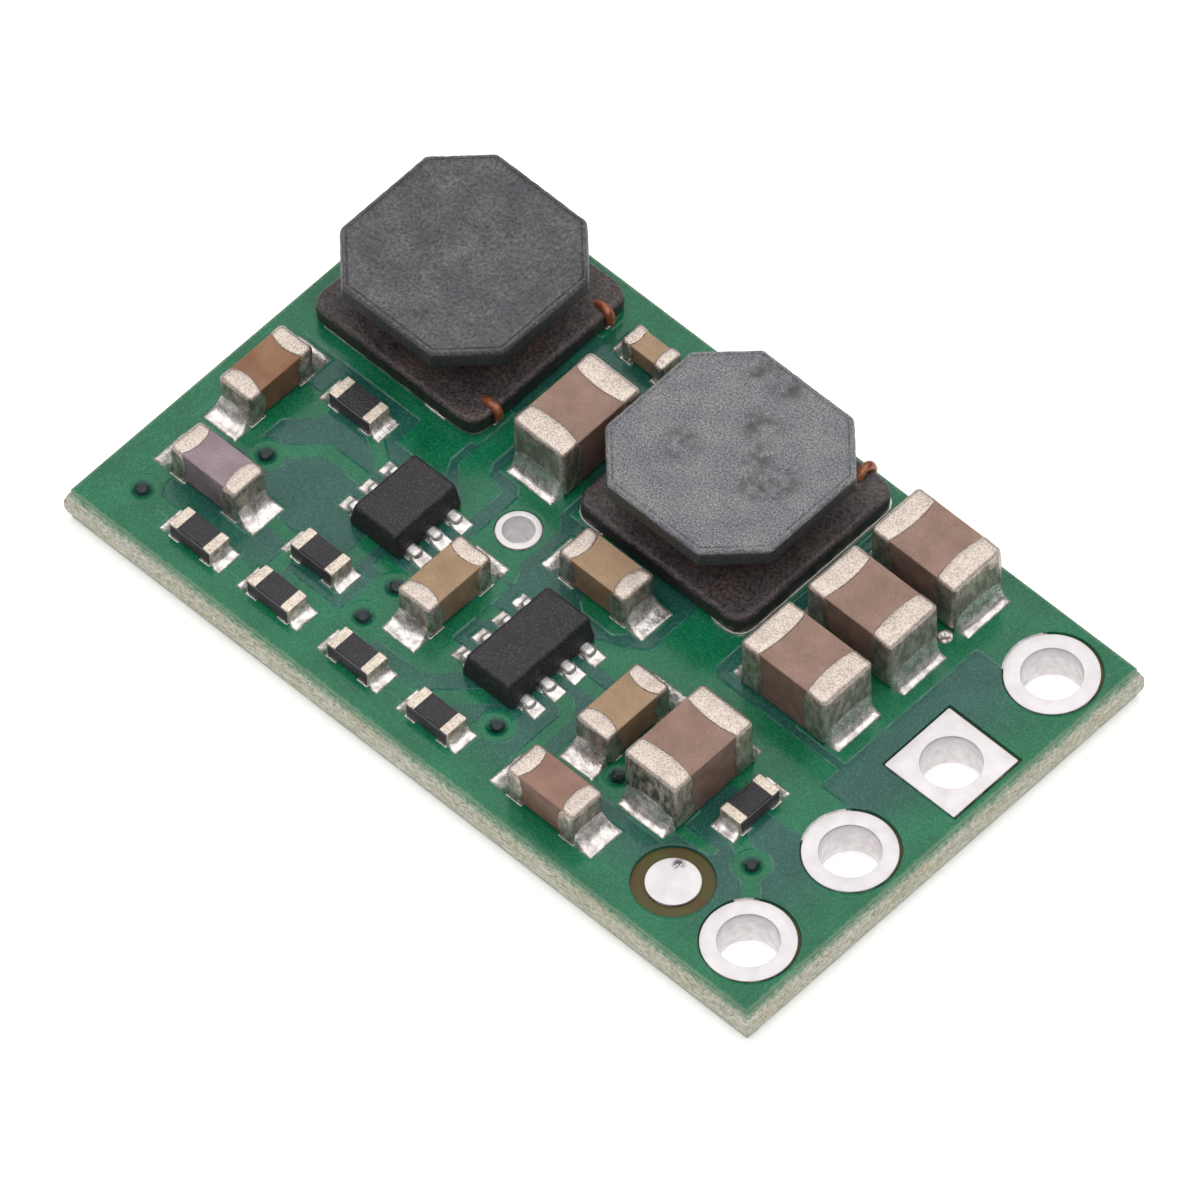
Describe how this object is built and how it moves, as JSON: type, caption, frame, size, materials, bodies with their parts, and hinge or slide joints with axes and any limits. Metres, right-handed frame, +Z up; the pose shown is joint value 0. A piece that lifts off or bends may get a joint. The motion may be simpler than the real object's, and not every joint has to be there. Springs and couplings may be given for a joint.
{
  "type": "voltage regulator module",
  "caption": "Small green circuit board that steps a supply voltage, with coils, chip capacitors, chip resistors and moulded chips, and plated terminal holes along one end.",
  "frame": {"origin": "middle of the board's underside", "axes": "+X towards the terminal holes, +Y across the board, +Z up from the board to its parts"},
  "size_m": [0.0162, 0.01, 0.0026],
  "materials": {
    "laminate": "rough broken glass fibre edge",
    "copper": "bare copper under the mask",
    "solder_mask": "glossy green lacquer",
    "plated_pad": "bright solder levelled",
    "ceramic_brown": "matte brown",
    "ceramic_tan": "matte tan",
    "ceramic_mauve": "matte grey mauve",
    "end_cap": "speckled tin plating",
    "alumina": "white ceramic",
    "overcoat": "black glass coat",
    "chip_resin": "matte black moulding resin",
    "lead": "tinned",
    "ferrite": "fine dark grey ferrite",
    "winding_wire": "enamelled copper",
    "solder": "bright solder"
  },
  "bodies": {
    "root": {"circuit_board": "laminate", "copper_tracks": "copper", "solder_mask_top": "solder_mask", "solder_mask_bottom": "solder_mask", "terminal_hole_1": "plated_pad", "terminal_hole_2": "plated_pad", "terminal_hole_3": "plated_pad", "terminal_hole_4": "plated_pad", "small_hole": "plated_pad", "fiducial_dot": "plated_pad", "capacitor_1_body": "ceramic_brown", "capacitor_1_end_caps": "end_cap", "capacitor_2_body": "ceramic_mauve", "capacitor_2_end_caps": "end_cap", "capacitor_3_body": "ceramic_tan", "capacitor_3_end_caps": "end_cap", "capacitor_4_body": "ceramic_tan", "capacitor_4_end_caps": "end_cap", "capacitor_5_body": "ceramic_tan", "capacitor_5_end_caps": "end_cap", "capacitor_6_body": "ceramic_brown", "capacitor_6_end_caps": "end_cap", "capacitor_7_body": "ceramic_brown", "capacitor_7_end_caps": "end_cap", "capacitor_8_body": "ceramic_brown", "capacitor_8_end_caps": "end_cap", "capacitor_9_body": "ceramic_brown", "capacitor_9_end_caps": "end_cap", "capacitor_10_body": "ceramic_brown", "capacitor_10_end_caps": "end_cap", "capacitor_11_body": "ceramic_brown", "capacitor_11_end_caps": "end_cap", "capacitor_12_body": "ceramic_tan", "capacitor_12_end_caps": "end_cap", "resistor_1_body": "alumina", "resistor_2_body": "alumina", "resistor_3_body": "alumina", "resistor_4_body": "alumina", "resistor_5_body": "alumina", "resistor_6_body": "alumina", "resistor_7_body": "alumina", "resistor_overcoats": "overcoat", "resistor_end_caps": "end_cap", "chip_6_lead_body": "chip_resin", "chip_8_lead_body": "chip_resin", "chip_6_lead_leads": "lead", "chip_8_lead_leads": "lead", "coil_1_core": "ferrite", "coil_2_core": "ferrite", "coil_1_winding": "winding_wire", "coil_2_winding": "winding_wire", "coil_1_terminals": "lead", "coil_2_terminals": "lead", "solder_at_capacitors": "solder", "solder_at_resistors": "solder", "solder_at_chips": "solder", "solder_at_coils": "solder"}
  },
  "joints": []
}
